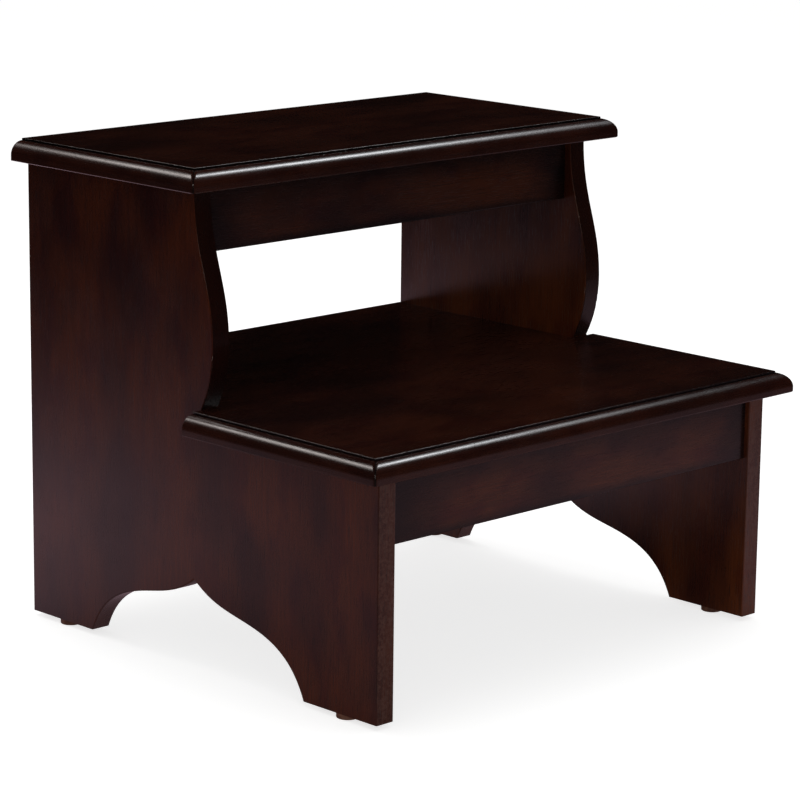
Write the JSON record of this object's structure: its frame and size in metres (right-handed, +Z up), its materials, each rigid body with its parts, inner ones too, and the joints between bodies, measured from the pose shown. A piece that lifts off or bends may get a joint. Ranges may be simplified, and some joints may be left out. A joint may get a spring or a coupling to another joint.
{
  "type": "step stool",
  "caption": "Free-standing wooden step stool with a wide lower tread, an upper tread, shaped side panels with pointed arches below, aprons, cleats and floor glides.",
  "frame": {"origin": "on the floor, under the middle of the stool's overall width and depth", "axes": "+X across the stool, to the right of someone facing its front; +Y from the lower step in front towards the back; +Z up"},
  "size_m": [0.547, 0.487, 0.457],
  "materials": {
    "panel_lacquer": "dark red-brown satin-gloss lacquer over wood, grain upright on the sides and lengthwise on the aprons",
    "tread_lacquer": "very dark brown satin-gloss lacquer, grain across the stool",
    "moulding_lacquer": "very dark brown gloss lacquer on solid-wood moulding",
    "cleat_wood": "dark stained softwood, thinly lacquered",
    "dowel_wood": "bare beech",
    "screw_steel": "zinc-plated steel",
    "glide_plastic": "tan-brown moulded plastic, satin"
  },
  "bodies": {
    "root": {"left_side_panel": "panel_lacquer", "right_side_panel": "panel_lacquer", "upper_tread_board": "tread_lacquer", "upper_tread_front_moulding": "moulding_lacquer", "upper_tread_left_moulding": "moulding_lacquer", "upper_tread_right_moulding": "moulding_lacquer", "lower_tread_board": "tread_lacquer", "lower_tread_front_moulding": "moulding_lacquer", "lower_tread_left_moulding": "moulding_lacquer", "lower_tread_right_moulding": "moulding_lacquer", "upper_front_apron": "panel_lacquer", "upper_rear_apron": "panel_lacquer", "lower_front_apron": "panel_lacquer", "lower_rear_rail": "panel_lacquer", "left_upper_cleat": "cleat_wood", "right_upper_cleat": "cleat_wood", "left_lower_cleat": "cleat_wood", "right_lower_cleat": "cleat_wood", "apron_dowels": "dowel_wood", "tread_dowels": "dowel_wood", "cleat_side_screws": "screw_steel", "cleat_tread_screws": "screw_steel", "front_left_glide": "glide_plastic", "front_right_glide": "glide_plastic", "rear_left_glide": "glide_plastic", "rear_right_glide": "glide_plastic", "glide_nails": "screw_steel"}
  },
  "joints": []
}
